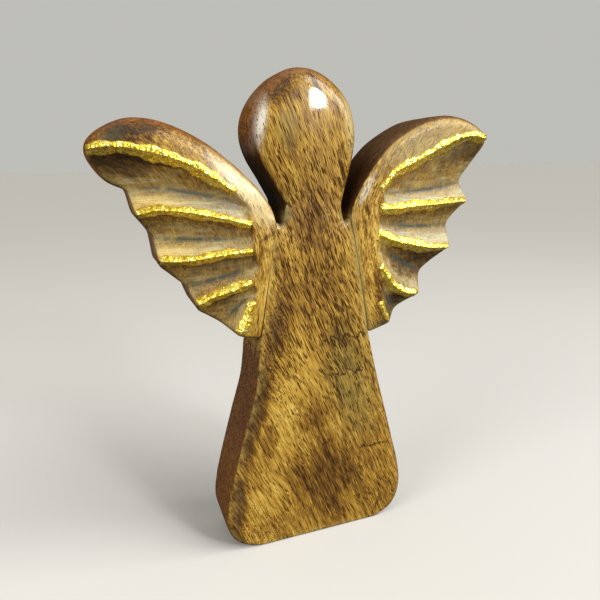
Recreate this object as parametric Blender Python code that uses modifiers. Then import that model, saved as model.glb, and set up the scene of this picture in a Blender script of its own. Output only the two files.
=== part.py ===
"""Carved wooden angel figurine.

Head, neck and dress are one sawn and rounded board. Each wing is a second board, carved with four
V-shaped valleys between five feather ridges, glued to the dress's flank and held by two dowels.
A strip of gold leaf lies along every ridge. Left and right are the viewer's, +X is to the right,
the front faces -Y, and the origin is the centre of the base.
"""

import math

import bmesh
import bpy
from mathutils import Matrix, Vector

MM = 0.001

# Driving dimensions, in millimetres.
HEIGHT = 199.0
THICKNESS = 26.0
JOINT_GAP = 0.3
BODY_EDGE_RADIUS = 3.6
WING_EDGE_RADIUS = 2.2
EDGE_STEPS = 2

BASE_HALF_WIDTH = 42.6
BASE_FLAT_HALF_WIDTH = 28.6
DRESS_SHIFT = 1.2  # the dress hangs this far to the right of the shoulders' centre

# The head leans a little to the left of the centre plane. Points (x, height) run from the neck's
# right side over the crown to its left side.
HEAD_OUTLINE = [
    (12.8, 146.0),
    (14.9, 152.0),
    (18.2, 160.5),
    (20.6, 169.0),
    (21.0, 177.5),
    (18.4, 186.5),
    (12.2, 193.4),
    (4.6, 197.8),
    (-2.6, HEIGHT),
    (-9.4, 197.2),
    (-16.2, 192.2),
    (-22.4, 184.0),
    (-24.5, 174.5),
    (-22.0, 165.0),
    (-16.2, 155.6),
    (-11.6, 148.0),
]

# Each flank joint is a flat face from beside the shoulder notch down to the wing's foot.
NOTCH = (13.6, 139.8)
SEAM_TOP = (15.9, 141.4)
SEAM_FOOT = (24.2, 91.5)

DOWEL_RADIUS = 3.0
DOWEL_LENGTH = 18.0
DOWEL_HOLE_CLEARANCE = 0.3
DOWEL_SIDES = 20
DOWEL_CHAMFER = 0.6
DOWELS = {"upper": 0.27, "lower": 0.74}  # share of the way down the joint

LEAF_HALF_WIDTH = 1.6
LEAF_THICKNESS = 1.2
VALLEY_DEPTH_SHARE = 0.8  # a valley's depth over half its width
VALLEY_RUN_OUT = 8.0  # how far a valley's cutter runs on past the feather ends

SMOOTH, CORNER = "smooth", "corner"

# The wings are hand-carved and differ a little, so each has its own points. They are (distance from
# the centre plane, height). A valley is its inner end, its outer end, and half its width at each.
LEFT_WING = {
    "side": -1,
    "shoulder": (16.6, 146.2),
    "leading_edge": [(22.4, 155.0), (37.3, 168.7), (53.1, 177.4), (67.0, 179.7), (79.0, 174.8)],
    "tip": (83.0, 168.0),
    "trailing_edge": [(77.6, 158.8)],
    "feather_ends": [(68.0, 145.6), (61.2, 127.2), (48.0, 109.0), (32.4, 96.8)],
    "notches": [(69.9, 154.6), (62.4, 138.2), (51.3, 118.1), (39.0, 102.8)],
    "foot_z": 95.2,
    "joint_top_z": 141.2,
    "valleys": [
        ((27.5, 146.8), (69.7, 155.2), 2.5, 7.6),
        ((25.9, 134.9), (62.8, 137.6), 3.4, 7.6),
        ((24.6, 123.8), (51.3, 118.0), 3.2, 7.4),
        ((25.4, 114.0), (38.6, 102.8), 2.4, 5.6),
    ],
    "ridges": [
        [(81.0, 168.6), (66.0, 168.4), (50.5, 164.1), (38.6, 157.5), (31.0, 152.0)],
        [(66.4, 146.4), (51.7, 146.8), (35.0, 143.0), (26.3, 140.2)],
        [(59.8, 129.0), (44.4, 129.1), (26.2, 130.3)],
        [(46.6, 111.6), (36.3, 115.5), (27.6, 118.2)],
        [(32.2, 99.6), (29.4, 103.8), (27.2, 108.8)],
    ],
}
RIGHT_WING = {
    "side": 1,
    "shoulder": (16.4, 145.4),
    "leading_edge": [
        (20.4, 154.0),
        (28.4, 165.0),
        (36.4, 172.6),
        (49.0, 179.4),
        (63.4, 181.8),
        (76.6, 178.0),
    ],
    "tip": (82.4, 170.8),
    "trailing_edge": [(78.2, 162.8)],
    "feather_ends": [(72.6, 146.2), (64.8, 126.8), (49.6, 106.6), (34.6, 95.0)],
    "notches": [(71.8, 155.2), (65.8, 136.4), (52.2, 115.8), (40.0, 100.8)],
    "foot_z": 91.8,
    "joint_top_z": 141.2,
    "valleys": [
        ((32.0, 149.6), (73.1, 155.2), 2.5, 7.6),
        ((29.7, 137.4), (66.7, 136.3), 3.0, 7.8),
        ((29.0, 125.8), (53.1, 115.9), 3.2, 7.6),
        ((30.0, 110.4), (39.9, 99.8), 2.6, 5.6),
    ],
    "ridges": [
        [(80.6, 171.6), (68.0, 172.2), (55.1, 167.2), (38.0, 159.8), (29.8, 152.8)],
        [(70.6, 146.4), (60.2, 145.6), (48.7, 145.0), (30.6, 143.6)],
        [(62.6, 127.0), (53.4, 127.2), (41.9, 129.4), (29.4, 133.4)],
        [(47.8, 107.4), (42.7, 108.2), (36.9, 111.6), (30.8, 119.0)],
        [(33.8, 96.8), (31.6, 101.0), (29.8, 105.6)],
    ],
}


def clear_scene():
    for obj in list(bpy.data.objects):
        bpy.data.objects.remove(obj)


def new_collection(name):
    collection = bpy.data.collections.new(name)
    bpy.context.scene.collection.children.link(collection)
    return collection


def make_material(name, colour, roughness, metallic=0.0):
    material = bpy.data.materials.new(name)
    material.use_nodes = True
    shader = material.node_tree.nodes["Principled BSDF"]
    shader.inputs["Base Color"].default_value = (*colour, 1.0)
    shader.inputs["Roughness"].default_value = roughness
    shader.inputs["Metallic"].default_value = metallic
    return material


def smooth_loop(points, steps=5):
    """A closed outline through (x, z, kind) points: Catmull-Rom, straight between two corners."""
    loop = []
    count = len(points)
    for i in range(count):
        x1, z1, kind1 = points[i]
        x2, z2, kind2 = points[(i + 1) % count]
        start, end = Vector((x1, z1)), Vector((x2, z2))
        if kind1 == CORNER and kind2 == CORNER:
            loop.append(start)
            continue
        before = Vector(points[i - 1][:2]) if kind1 == SMOOTH else 2 * start - end
        after = Vector(points[(i + 2) % count][:2]) if kind2 == SMOOTH else 2 * end - start
        for step in range(steps):
            t = step / steps
            loop.append(
                0.5
                * (
                    2 * start
                    + (end - before) * t
                    + (2 * before - 5 * start + 4 * end - after) * t * t
                    + (3 * start - before - 3 * end + after) * t * t * t
                )
            )
    return loop


def curve_to_mesh(obj, collection):
    """The curve's evaluated shape as a mesh object, in its place, with each welded cap one face."""
    bpy.context.view_layer.update()
    evaluated = obj.evaluated_get(bpy.context.evaluated_depsgraph_get())
    mesh = bpy.data.meshes.new_from_object(evaluated)
    shape = bmesh.new()
    shape.from_mesh(mesh)
    bmesh.ops.remove_doubles(shape, verts=shape.verts, dist=0.01 * MM)
    bmesh.ops.dissolve_limit(shape, angle_limit=math.radians(0.2), verts=shape.verts, edges=shape.edges)
    bmesh.ops.recalc_face_normals(shape, faces=shape.faces)
    shape.to_mesh(mesh)
    shape.free()
    solid = bpy.data.objects.new(obj.name, mesh)
    solid.matrix_world = obj.matrix_world
    name = obj.name
    bpy.data.objects.remove(obj)
    solid.name = name
    collection.objects.link(solid)
    return solid


def sawn_board(name, loop, edge_radius, material, collection):
    """An outline in the XZ plane, sawn through the full thickness, with rounded edges."""
    curve = bpy.data.curves.new(name, "CURVE")
    curve.dimensions = "2D"
    curve.fill_mode = "BOTH"
    curve.extrude = THICKNESS * MM / 2
    spline = curve.splines.new("POLY")
    spline.points.add(len(loop) - 1)
    for point, (x, z) in zip(spline.points, loop):
        point.co = (x * MM, z * MM, 0.0, 1.0)
    spline.use_cyclic_u = True
    outline = bpy.data.objects.new(name, curve)
    outline.rotation_euler = (math.radians(90), 0.0, 0.0)
    collection.objects.link(outline)

    board = curve_to_mesh(outline, collection)
    board.data.materials.clear()
    board.data.materials.append(material)
    bevel = board.modifiers.new("rounded_edges", "BEVEL")
    bevel.width = edge_radius * MM
    bevel.segments = EDGE_STEPS
    bevel.limit_method = "WEIGHT"
    bevel.use_clamp_overlap = False
    weigh_rims(board.data)
    return board


def weigh_rims(mesh):
    """Marks the front and back rims of a board for the Bevel, and not the corners down its sides."""
    shape = bmesh.new()
    shape.from_mesh(mesh)
    weight = shape.edges.layers.float.new("bevel_weight_edge")
    for edge in shape.edges:
        first, second = edge.verts
        edge[weight] = 1.0 if abs(first.co.z - second.co.z) < 0.01 * MM else 0.0
    shape.to_mesh(mesh)
    shape.free()


def subtract(target, cutter):
    cut = target.modifiers.new(cutter.name, "BOOLEAN")
    cut.operation = "DIFFERENCE"
    cut.solver = "EXACT"
    cut.object = cutter


def make_cutter(name, shape, collection):
    mesh = bpy.data.meshes.new(name)
    shape.to_mesh(mesh)
    shape.free()
    cutter = bpy.data.objects.new(name, mesh)
    cutter.hide_render = True
    cutter.display_type = "WIRE"
    collection.objects.link(cutter)
    return cutter


def body_loop():
    """Dress, joint faces, neck and head, anticlockwise from the base's right end."""
    base_corner = [(BASE_HALF_WIDTH - 6.0, 3.0), (BASE_HALF_WIDTH - 1.8, 7.8), (BASE_HALF_WIDTH, 15.0)]
    flank = [(BASE_HALF_WIDTH - 1.4, 26.0), (37.3, 41.0), (32.6, 57.5), (28.1, 73.0)]
    half = [(BASE_FLAT_HALF_WIDTH, 0.0, CORNER)]
    half += [(x, z, SMOOTH) for x, z in base_corner + flank]
    seam = [SEAM_FOOT, SEAM_TOP, NOTCH]
    right = [(x + DRESS_SHIFT, z, kind) for x, z, kind in half] + [(x, z, CORNER) for x, z in seam]
    left = [(-x, z, CORNER) for x, z in reversed(seam)]
    left += [(DRESS_SHIFT - x, z, kind) for x, z, kind in reversed(half)]
    head = [(x, z, SMOOTH) for x, z in HEAD_OUTLINE]
    return smooth_loop(right + head + left, steps=4)


def seam_point(side, share, outward):
    """A point on the joint's line, share of the way down it, moved outward along its normal."""
    top, foot = Vector(SEAM_TOP), Vector(SEAM_FOOT)
    run = foot - top
    normal = Vector((-run.y, run.x)).normalized()
    place = top + run * share + normal * outward
    return Vector((side * place.x, place.y))


def wing_joint_x(z):
    """How far from the centre plane the wing's joint face is at a height, one gap off the body's."""
    slope = (SEAM_FOOT[0] - SEAM_TOP[0]) / (SEAM_TOP[1] - SEAM_FOOT[1])
    return SEAM_TOP[0] + (SEAM_TOP[1] - z) * slope + JOINT_GAP * math.hypot(1.0, slope)


def wing_loop(wing):
    """The wing's outline from its shoulder over the tip and down the feather ends to its foot."""
    side = wing["side"]
    edge = wing["leading_edge"] + [wing["tip"]] + wing["trailing_edge"]
    points = [(*wing["shoulder"], CORNER)] + [(x, z, SMOOTH) for x, z in edge]
    for notch, end in zip(wing["notches"], wing["feather_ends"]):
        points += [(*notch, CORNER), (*end, CORNER)]
    for z in (wing["foot_z"], wing["joint_top_z"]):
        points.append((wing_joint_x(z), z, CORNER))
    return [Vector((side * p.x, p.y)) for p in smooth_loop(points)]


def valley_cutter(name, wing, valley, collection):
    """A four-sided tapered bar along the front face: its lower half cuts a V that widens outward."""
    inner, outer, inner_half, outer_half = valley
    side = wing["side"]
    start = Vector((side * inner[0], -THICKNESS / 2, inner[1])) * MM
    end = Vector((side * outer[0], -THICKNESS / 2, outer[1])) * MM
    along = (end - start).normalized()
    widening = (outer_half - inner_half) * MM / (end - start).length
    end += along * VALLEY_RUN_OUT * MM
    length = (end - start).length
    end_half = inner_half * MM + widening * length
    across = along.cross(Vector((0.0, 1.0, 0.0)))
    frame = Matrix((across, along.cross(across) * VALLEY_DEPTH_SHARE, along)).transposed().to_4x4()
    frame.translation = (start + end) / 2
    shape = bmesh.new()
    bmesh.ops.create_cone(
        shape,
        cap_ends=True,
        segments=4,
        radius1=inner_half * MM,
        radius2=end_half,
        depth=length,
        matrix=frame,
    )
    bmesh.ops.recalc_face_normals(shape, faces=shape.faces)
    return make_cutter(name, shape, collection)


def dowel_frame(side, share):
    """A matrix whose Z runs outward along the dowel, centred on the joint."""
    centre = seam_point(side, share, JOINT_GAP / 2)
    outer = seam_point(side, share, 1.0)
    centre_3d = Vector((centre.x, 0.0, centre.y)) * MM
    outward = (Vector((outer.x, 0.0, outer.y)) * MM - centre_3d).normalized()
    return Matrix.Translation(centre_3d) @ outward.to_track_quat("Z", "Y").to_matrix().to_4x4()


def make_dowel(name, side, share, material, collection):
    shape = bmesh.new()
    radius = DOWEL_RADIUS * MM
    bmesh.ops.create_cone(
        shape, cap_ends=True, segments=DOWEL_SIDES, radius1=radius, radius2=radius, depth=DOWEL_LENGTH * MM
    )
    mesh = bpy.data.meshes.new(name)
    shape.to_mesh(mesh)
    shape.free()
    mesh.materials.append(material)
    mesh.shade_smooth()
    mesh.set_sharp_from_angle(angle=math.radians(40))
    dowel = bpy.data.objects.new(name, mesh)
    dowel.matrix_world = dowel_frame(side, share)
    collection.objects.link(dowel)
    chamfer = dowel.modifiers.new("chamfer", "BEVEL")
    chamfer.width = DOWEL_CHAMFER * MM
    chamfer.segments = 1
    chamfer.limit_method = "ANGLE"
    chamfer.angle_limit = math.radians(40)
    return dowel


def dowel_hole(name, side, share, collection):
    shape = bmesh.new()
    radius = (DOWEL_RADIUS + DOWEL_HOLE_CLEARANCE) * MM
    length = (DOWEL_LENGTH + 2 * DOWEL_HOLE_CLEARANCE) * MM
    bmesh.ops.create_cone(
        shape,
        cap_ends=True,
        segments=DOWEL_SIDES,
        radius1=radius,
        radius2=radius,
        depth=length,
        matrix=dowel_frame(side, share),
    )
    return make_cutter(name, shape, collection)


def make_leaf_strip(name, side, ridge, material, collection):
    """A flattened rod along a ridge, just clear of the wood."""
    curve = bpy.data.curves.new(name, "CURVE")
    curve.dimensions = "3D"
    curve.bevel_depth = LEAF_HALF_WIDTH * MM
    curve.bevel_resolution = 1
    curve.use_fill_caps = True
    spline = curve.splines.new("POLY")
    spline.points.add(len(ridge) - 1)
    for point, (distance, z) in zip(spline.points, ridge):
        point.co = (side * distance * MM, 0.0, z * MM, 1.0)
    rod = bpy.data.objects.new(name, curve)
    rod.scale.y = LEAF_THICKNESS / (2 * LEAF_HALF_WIDTH)
    rod.location.y = -(THICKNESS / 2 + JOINT_GAP + LEAF_THICKNESS / 2) * MM
    collection.objects.link(rod)
    strip = curve_to_mesh(rod, collection)
    strip.data.transform(strip.matrix_world)
    strip.matrix_world = Matrix.Identity(4)
    strip.data.materials.clear()
    strip.data.materials.append(material)
    return strip


def make_wing(name, label, wing, materials, pieces, cutters, body):
    side = wing["side"]
    board = sawn_board(name, wing_loop(wing), WING_EDGE_RADIUS, materials["wing"], pieces)
    for number, valley in enumerate(wing["valleys"], start=1):
        subtract(board, valley_cutter(f"{label}_valley_cutter_{number}", wing, valley, cutters))
    for place, share in DOWELS.items():
        hole = dowel_hole(f"{label}_dowel_hole_{place}", side, share, cutters)
        subtract(board, hole)
        subtract(body, hole)
        make_dowel(f"{label}_dowel_{place}", side, share, materials["dowel"], pieces)
    for number, ridge in enumerate(wing["ridges"], start=1):
        make_leaf_strip(f"gold_leaf_{label}_{number}", side, ridge, materials["gold"], pieces)


def build():
    clear_scene()
    pieces = new_collection("carved_angel_figurine")
    cutters = new_collection("cutters")
    materials = {
        "body": make_material("oiled_body_wood", (0.42, 0.24, 0.075), 0.38),
        "wing": make_material("oiled_wing_wood", (0.36, 0.22, 0.10), 0.45),
        "dowel": make_material("dowel_wood", (0.62, 0.46, 0.27), 0.7),
        "gold": make_material("gold_leaf", (1.0, 0.72, 0.12), 0.22, metallic=1.0),
    }
    body = sawn_board("body", body_loop(), BODY_EDGE_RADIUS, materials["body"], pieces)
    make_wing("left_wing", "left", LEFT_WING, materials, pieces, cutters, body)
    make_wing("right_wing", "right", RIGHT_WING, materials, pieces, cutters, body)


build()
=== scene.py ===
import math

import bpy
import numpy as np
from mathutils import Euler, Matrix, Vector, noise
from mathutils.geometry import delaunay_2d_cdt


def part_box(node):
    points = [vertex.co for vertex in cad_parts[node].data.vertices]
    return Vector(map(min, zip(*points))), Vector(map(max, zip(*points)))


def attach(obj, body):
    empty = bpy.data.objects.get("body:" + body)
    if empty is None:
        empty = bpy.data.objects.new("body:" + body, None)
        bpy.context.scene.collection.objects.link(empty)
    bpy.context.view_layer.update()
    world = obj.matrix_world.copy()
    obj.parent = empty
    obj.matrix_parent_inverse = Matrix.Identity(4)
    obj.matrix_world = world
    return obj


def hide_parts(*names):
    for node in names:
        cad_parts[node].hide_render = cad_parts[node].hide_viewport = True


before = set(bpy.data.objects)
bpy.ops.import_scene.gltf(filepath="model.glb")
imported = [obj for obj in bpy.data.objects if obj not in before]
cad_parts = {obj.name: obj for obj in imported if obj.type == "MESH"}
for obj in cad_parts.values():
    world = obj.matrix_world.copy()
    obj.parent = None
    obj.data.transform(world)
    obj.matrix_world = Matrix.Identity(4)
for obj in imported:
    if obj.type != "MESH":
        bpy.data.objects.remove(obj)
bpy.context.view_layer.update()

MM = 0.001
BODY_LOW, BODY_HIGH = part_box("body")
HALF_THICKNESS = (BODY_HIGH.y - BODY_LOW.y) / MM / 2
CROWN_Z = BODY_HIGH.z / MM

# Half of the dress: (x, z, edge radius at the left, edge radius at the right, is it a corner).
DRESS = [
    (28.6, 0.0, 1.1, 1.1, True),
    (36.6, 3.0, 1.6, 3.0, False),
    (40.8, 7.8, 1.6, 4.6, False),
    (42.6, 15.0, 1.4, 5.4, False),
    (41.2, 26.0, 1.3, 5.5, False),
    (37.3, 41.0, 1.3, 5.2, False),
    (32.6, 57.5, 1.3, 4.2, False),
    (28.1, 73.0, 1.3, 2.8, False),
]
DRESS_SHIFT = 1.2
NOTCH = (13.6, 139.8)
SEAM_FOOT = (24.2, 91.5)
SEAM_TOP = (15.9, 141.4)
SEAM_RADIUS, NOTCH_RADIUS = 0.06, 2.2
SEAM_GAP = 0.02
# From here on an outline point is (x, z, edge radius, is it a corner).
HEAD = [
    (12.8, 146.0, 2.4, False),
    (14.9, 152.0, 3.4, False),
    (18.2, 160.5, 5.4, False),
    (20.6, 169.0, 7.0, False),
    (21.0, 177.5, 8.0, False),
    (18.4, 186.5, 8.5, False),
    (12.2, 193.4, 8.0, False),
    (4.6, 197.8, 7.5, False),
    (-2.6, CROWN_Z, 7.0, False),
    (-9.4, 197.2, 7.5, False),
    (-16.2, 192.2, 8.5, False),
    (-22.4, 184.0, 9.0, False),
    (-24.5, 174.5, 8.5, False),
    (-22.0, 165.0, 5.8, False),
    (-16.2, 155.6, 3.2, False),
    (-11.6, 148.0, 1.6, True),
]

# A wing's points are (distance from the centre plane, z), and an outline's have the edge radius too.
LEFT_WING = {
    "side": -1,
    "node": "left_wing",
    "shoulder": (16.6, 146.2, 2.0),
    "leading_edge": [
        (22.4, 155.0, 3.6), (37.3, 168.7, 5.0), (53.1, 177.4, 6.5), (67.0, 179.7, 7.0), (79.0, 174.8, 6.0),
    ],
    "tip": (83.0, 168.0, 3.6),
    "trailing_edge": [(77.6, 158.8, 2.4)],
    "feather_ends": [(68.0, 145.6), (61.2, 127.2), (48.0, 109.0), (32.4, 96.8)],
    "notches": [(69.9, 154.6), (62.4, 138.2), (51.3, 118.1), (39.0, 102.8)],
    "dome": (2.4, 8.0),
    # sheen_fade, sheen_at and tan shape the painted highlight on the valleys' up-facing flanks.
    "sheen_fade": 1.0,
    "sheen_at": 0.15,
    "tan": 1.0,
    "joint": (95.2, 141.2),
    "ridges": [
        [(84.0, 168.4), (73.1, 169.4), (65.8, 168.4), (50.5, 164.1), (38.6, 157.5), (31.6, 152.6)],
        [(69.0, 145.8), (61.0, 147.5), (51.7, 146.8), (43.5, 145.0), (35.0, 143.2), (25.8, 140.4)],
        [(62.4, 129.4), (52.9, 128.6), (44.4, 129.1), (35.6, 130.0), (25.8, 130.4)],
        [(49.6, 110.6), (42.4, 114.0), (36.3, 115.5), (26.6, 118.4)],
        [(33.4, 96.0), (29.7, 102.6), (26.6, 111.0)],
    ],
    "creases": [
        [(69.7, 155.4), (58.4, 155.0), (45.9, 152.8), (35.4, 150.2), (28.6, 147.6)],
        [(62.8, 137.2), (50.6, 136.3), (37.5, 135.6), (27.2, 135.2)],
        [(50.9, 117.8), (42.1, 119.9), (32.4, 122.1), (25.4, 124.1)],
        [(38.4, 103.2), (31.9, 108.9), (26.6, 113.6)],
    ],
    "valley_heads": [(26.6, 146.8), (25.0, 135.2), (23.2, 124.6), (24.6, 114.6)],
}
RIGHT_WING = {
    "side": 1,
    "node": "right_wing",
    "shoulder": (16.4, 145.4, 0.9),
    "leading_edge": [
        (20.4, 154.0, 2.0), (28.4, 165.0, 2.4), (36.4, 172.6, 3.2), (49.0, 179.4, 4.2), (63.4, 181.8, 4.6),
        (76.6, 178.0, 4.5),
    ],
    "lean": ((27.0, 166.0), 13.0, (-0.3, 0.4)),
    "tip": (82.4, 170.8, 3.4),
    "trailing_edge": [(78.2, 162.8, 2.4)],
    "feather_ends": [(72.6, 146.2), (64.8, 126.8), (49.6, 106.6), (34.6, 95.0)],
    "notches": [(71.8, 155.2), (65.8, 136.4), (52.2, 115.8), (40.0, 100.8)],
    "dome": (1.0, 9.0),
    # sheen_fade, sheen_at and tan shape the painted highlight on the valleys' up-facing flanks.
    "sheen_fade": 0.3,
    "sheen_at": 0.5,
    "tan": 0.0,
    "joint": (91.8, 141.2),
    "ridges": [
        [
            (84.0, 171.6), (72.0, 173.0), (64.4, 171.1), (55.1, 167.2), (46.1, 163.1), (36.4, 158.8),
            (29.4, 151.8),
        ],
        [(74.0, 146.2), (60.2, 145.4), (48.7, 145.0), (37.7, 144.3), (29.0, 144.2)],
        [(66.0, 126.4), (53.4, 126.8), (41.9, 129.2), (33.4, 131.8), (28.4, 134.0)],
        [(50.6, 106.4), (42.7, 107.6), (36.9, 111.0), (32.5, 116.4), (29.6, 120.6)],
        [(35.2, 94.4), (31.5, 101.6), (30.0, 105.4)],
    ],
    "creases": [
        [(73.4, 154.4), (63.7, 152.5), (53.1, 151.3), (42.6, 150.9), (33.0, 149.6)],
        [(67.0, 135.7), (54.1, 135.8), (40.9, 136.6), (30.4, 138.0)],
        [(53.2, 115.2), (44.3, 119.5), (37.1, 123.3), (30.8, 126.2)],
        [(39.4, 99.8), (34.8, 105.0), (31.6, 109.4)],
    ],
    "valley_heads": [(30.8, 148.6), (28.6, 138.8), (28.6, 127.2), (30.0, 111.4)],
}
VALLEY_DEPTHS = [(2.6, 7.0), (2.4, 6.4), (2.4, 5.8), (1.8, 4.4)]  # at the head, at the feather ends
UPPER_FLANK_POWER, LOWER_FLANK_POWER = 2.0, 1.25  # how much steeper a flank is at its ridge than on average
RIDGE_SOFTNESS = 0.05
CREASE_SOFTNESS = 0.08
# Strength of the painted highlight on each valley's up-facing flank.
VALLEY_SHEENS = (1.0, 0.9, 0.35, 0.2)
FEATHER_RADIUS, FOOT_RADIUS = 1.6, 1.8
BACK_RADIUS = 2.4

OUTLINE_SPACING = 0.8
SIDE_ROWS = 14
RING_ANGLES = (22, 38, 52, 66, 79, 90)  # where rings of points lie on a rounded edge, in degrees
BLOCK = 4000  # points measured at a time
RUN_OUT = 9.0  # how far ridges and creases run on past the feather ends


# ---- outlines


def smooth_line(points, spacing, closed, corners=None):
    """Catmull-Rom through rows of numbers, at about a spacing, straight between two corners."""
    rows = np.array(points, float)
    count = len(rows)
    corners = corners or [False] * count
    last = count if closed else count - 1
    out = []
    for i in range(last):
        j = (i + 1) % count
        start, end = rows[i], rows[j]
        has_before = (closed or i > 0) and not corners[i]
        has_after = (closed or j < count - 1) and not corners[j]
        before = rows[i - 1] if has_before else 2 * start - end
        after = rows[(j + 1) % count] if has_after else 2 * end - start
        if corners[i] and corners[j]:
            before, after = 2 * start - end, 2 * end - start
        steps = max(1, round(float(np.hypot(*(end - start)[:2])) / spacing))
        t = (np.arange(steps) / steps)[:, None]
        out.append(
            0.5
            * (
                2 * start
                + (end - before) * t
                + (2 * before - 5 * start + 4 * end - after) * t**2
                + (3 * start - before - 3 * end + after) * t**3
            )
        )
    if not closed:
        out.append(rows[-1:])
    return np.concatenate(out)


def soften(loop, rounds):
    """Rounds a closed loop's corners a little, as sanding does."""
    for _ in range(rounds):
        loop = 0.5 * loop + 0.25 * (np.roll(loop, 1, 0) + np.roll(loop, -1, 0))
    return loop


def seam_x(z):
    return SEAM_TOP[0] + (SEAM_TOP[1] - z) * (SEAM_FOOT[0] - SEAM_TOP[0]) / (SEAM_TOP[1] - SEAM_FOOT[1])


def body_outline():
    """Rows of x, z and edge radius round the body."""
    dress_right = [(x + DRESS_SHIFT, z, radius, corner) for x, z, _, radius, corner in DRESS]
    dress_left = [(DRESS_SHIFT - x, z, radius, corner) for x, z, radius, _, corner in reversed(DRESS)]
    seam = [(*SEAM_FOOT, SEAM_RADIUS, True), (*SEAM_TOP, SEAM_RADIUS, True), (*NOTCH, NOTCH_RADIUS, True)]
    seam_left = [(-x, z, radius, corner) for x, z, radius, corner in reversed(seam)]
    points = dress_right + seam + HEAD + seam_left + dress_left
    rows = [p[:3] for p in points]
    loop = smooth_line(rows, OUTLINE_SPACING, True, [p[3] for p in points])
    return soften(loop, 2)


def wing_outline(wing):
    """Rows of x, z and edge radius round a wing, anticlockwise for the right one."""
    points = [(*wing["shoulder"], True)]
    points += [(*p, False) for p in (*wing["leading_edge"], wing["tip"], *wing["trailing_edge"])]
    for notch, end in zip(wing["notches"], wing["feather_ends"]):
        points += [(*notch, FEATHER_RADIUS, True), (*end, FEATHER_RADIUS, True)]
    foot_z, top_z = wing["joint"]
    points += [(seam_x(foot_z) + SEAM_GAP, foot_z, FOOT_RADIUS, True)]
    points += [(seam_x(top_z) + SEAM_GAP, top_z, SEAM_RADIUS, True)]
    rows = [p[:3] for p in points]
    loop = soften(smooth_line(rows, OUTLINE_SPACING, True, [p[3] for p in points]), 4)
    loop[:, 0] *= wing["side"]
    return loop


# ---- distances and ripples


def to_segments(points, line, closed):
    """Distance from each point to a polyline, with the nearest segment and the place along it."""
    starts = line[:, :2] if closed else line[:-1, :2]
    ends = np.roll(line[:, :2], -1, 0) if closed else line[1:, :2]
    runs = ends - starts
    lengths = np.maximum((runs**2).sum(1), 1e-12)
    best = np.full(len(points), np.inf)
    index = np.zeros(len(points), int)
    share = np.zeros(len(points))
    for first in range(0, len(points), BLOCK):
        block = points[first : first + BLOCK, None, :2] - starts[None]
        t = np.clip((block * runs).sum(2) / lengths, 0, 1)
        gap = ((block - t[:, :, None] * runs) ** 2).sum(2)
        nearest = gap.argmin(1)
        rows = np.arange(len(nearest))
        best[first : first + BLOCK] = np.sqrt(gap[rows, nearest])
        index[first : first + BLOCK] = nearest
        share[first : first + BLOCK] = t[rows, nearest]
    return best, index, share


def is_inside(points, loop):
    """Even-odd test of points against a closed loop."""
    x, z = points[:, 0], points[:, 1]
    inside = np.zeros(len(points), bool)
    ends = np.roll(loop, -1, 0)
    for (x1, z1), (x2, z2) in zip(loop[:, :2], ends[:, :2]):
        if z1 == z2:
            continue
        crosses = (z1 > z) != (z2 > z)
        inside ^= crosses & (x < (x2 - x1) * (z - z1) / (z2 - z1) + x1)
    return inside


def ripple(points, wavelength, seed, waves=6):
    """Smooth seeded waviness in about -1..1 over rows of coordinates."""
    random = np.random.default_rng(seed)
    total = np.zeros(len(points))
    for _ in range(waves):
        direction = random.normal(size=points.shape[1])
        direction /= np.linalg.norm(direction)
        stretch = random.uniform(0.7, 1.5)
        total += np.sin(points @ direction * (2 * math.pi / wavelength * stretch) + random.uniform(0, 7))
    return total / waves * 1.6


def rounding(distance, radius):
    """How far a rounded edge falls back at a distance from the outline."""
    inset = np.clip(radius - distance, 0, radius)
    return radius - np.sqrt(np.maximum(radius**2 - inset**2, 0))


# ---- boards


def edge_radius(points, loop):
    """Distance from each point to the outline, and the edge radius there."""
    distance, index, share = to_segments(points, loop, True)
    radii = loop[:, 2]
    return distance, radii[index] * (1 - share) + np.roll(radii, -1)[index] * share


def ring_points(loop, share):
    """Points inside an outline at a share of its edge radius, where the outline leaves room."""
    tangent = np.roll(loop[:, :2], -1, 0) - np.roll(loop[:, :2], 1, 0)
    tangent /= np.linalg.norm(tangent, axis=1)[:, None]
    normal = np.stack([-tangent[:, 1], tangent[:, 0]], 1)
    area = (loop[:, 0] * np.roll(loop[:, 1], -1) - np.roll(loop[:, 0], -1) * loop[:, 1]).sum()
    inset = loop[:, 2] * share
    ring = loop[:, :2] + normal * (np.sign(area) * inset)[:, None]
    distance, _, _ = to_segments(ring, loop, True)
    return ring[distance > inset * 0.97]


def hex_grid(loop, spacing):
    low, high = loop[:, :2].min(0), loop[:, :2].max(0)
    xs = np.arange(low[0], high[0], spacing)
    zs = np.arange(low[1], high[1], spacing * math.sqrt(0.75))
    rows = []
    for row, z in enumerate(zs):
        shifted = xs + (spacing / 2 if row % 2 else 0)
        rows.append(np.stack([shifted, np.full(len(xs), z)], 1))
    return np.concatenate(rows)


def thin_out(points, taken, least):
    """Points that keep at least a distance from those taken, by cells of that size."""
    cells = {tuple(c) for c in np.floor(taken / least).astype(int)}
    keep = [tuple(c) not in cells for c in np.floor(points / least).astype(int)]
    return points[np.array(keep)]


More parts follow.
